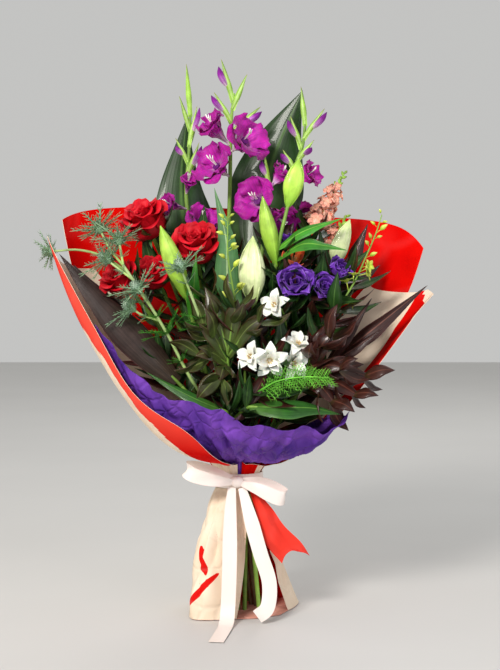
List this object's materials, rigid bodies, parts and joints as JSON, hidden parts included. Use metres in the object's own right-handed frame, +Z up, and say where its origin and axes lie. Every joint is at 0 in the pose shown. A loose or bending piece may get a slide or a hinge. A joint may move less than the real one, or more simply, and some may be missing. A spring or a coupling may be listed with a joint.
{
  "type": "flower sheaf",
  "caption": "Mixed cut flowers in a hand-tied sheaf that stands on its stems, wrapped in two-tone paper and tissue, bound at the neck with a satin ribbon bow.",
  "frame": {"origin": "on the underside of the folded paper foot, near its middle, under the bound neck", "axes": "+Z up, the front of the sheaf towards -Y, +X to the right as seen from the front"},
  "size_m": [0.5418, 0.309, 0.773],
  "materials": {
    "stem_green": "green cut stems",
    "leaf_dark": "smooth dark leaf",
    "leaf_lily": "waxy green bud and leaf",
    "spike_green": "waxy green bracts and buds",
    "petal_magenta": "thin satiny petal",
    "petal_red": "velvety petal",
    "thistle": "stiff matt bracts",
    "petal_violet": "soft ruffled petal",
    "petal_peach": "velvety floret",
    "petal_orange": "soft petal",
    "bud_lime": "waxy buds on thin stems",
    "petal_white": "soft petal",
    "cordyline": "glossy leathery leaf",
    "burgundy": "glossy leaf",
    "fern": "fine bright frond",
    "paper_red": "matt wrapping paper, red inside and cream outside",
    "paper_cream": "matt wrapping paper",
    "tissue": "crumpled thin tissue",
    "satin": "satin weave",
    "twine": "rough twine"
  },
  "bodies": {
    "root": {"alstroemeria": "petal_orange", "aspidistra_back_left": "leaf_dark", "aspidistra_back_right": "leaf_dark", "aspidistra_front_left": "leaf_dark", "aspidistra_front_right": "leaf_dark", "bud_spray_left": "bud_lime", "bud_spray_right": "bud_lime", "burgundy_left": "burgundy", "burgundy_right": "burgundy", "cordyline_left": "cordyline", "cordyline_long": "cordyline", "cordyline_right": "cordyline", "cordyline_tall": "cordyline", "fern": "fern", "gladiolus_bloom_back": "petal_magenta", "gladiolus_bloom_corner": "petal_magenta", "gladiolus_bloom_left": "petal_magenta", "gladiolus_bloom_middle": "petal_magenta", "gladiolus_bloom_open": "petal_magenta", "gladiolus_bloom_right": "petal_magenta", "gladiolus_bloom_side": "petal_magenta", "gladiolus_bloom_slim": "petal_magenta", "gladiolus_bloom_top": "petal_magenta", "gladiolus_blooms_low": "petal_magenta", "gladiolus_centre": "spike_green", "gladiolus_left": "spike_green", "gladiolus_low": "spike_green", "gladiolus_right": "spike_green", "lily_centre": "leaf_lily", "lily_left": "leaf_lily", "lily_right": "leaf_lily", "lily_upper": "leaf_lily", "lisianthus_back": "petal_violet", "lisianthus_front": "petal_violet", "lisianthus_pale": "petal_violet", "lisianthus_right": "petal_violet", "paper_back_left": "paper_red", "paper_back_right": "paper_red", "paper_flap": "paper_red", "paper_foot": "paper_cream", "paper_wing_left": "paper_red", "paper_wing_right": "paper_red", "ribbon_band": "satin", "ribbon_bow": "satin", "ribbon_tail_curled": "satin", "ribbon_tail_long": "satin", "rose_left": "petal_red", "rose_middle": "petal_red", "rose_right": "petal_red", "rose_upper": "petal_red", "snapdragon_lower": "petal_peach", "snapdragon_upper": "petal_peach", "stem_tie": "twine", "stems": "stem_green", "thistle_left": "thistle", "thistle_right": "thistle", "tissue": "tissue", "white_bloom_top": "petal_white", "white_blooms_left": "petal_white", "white_blooms_right": "petal_white"}
  },
  "joints": []
}
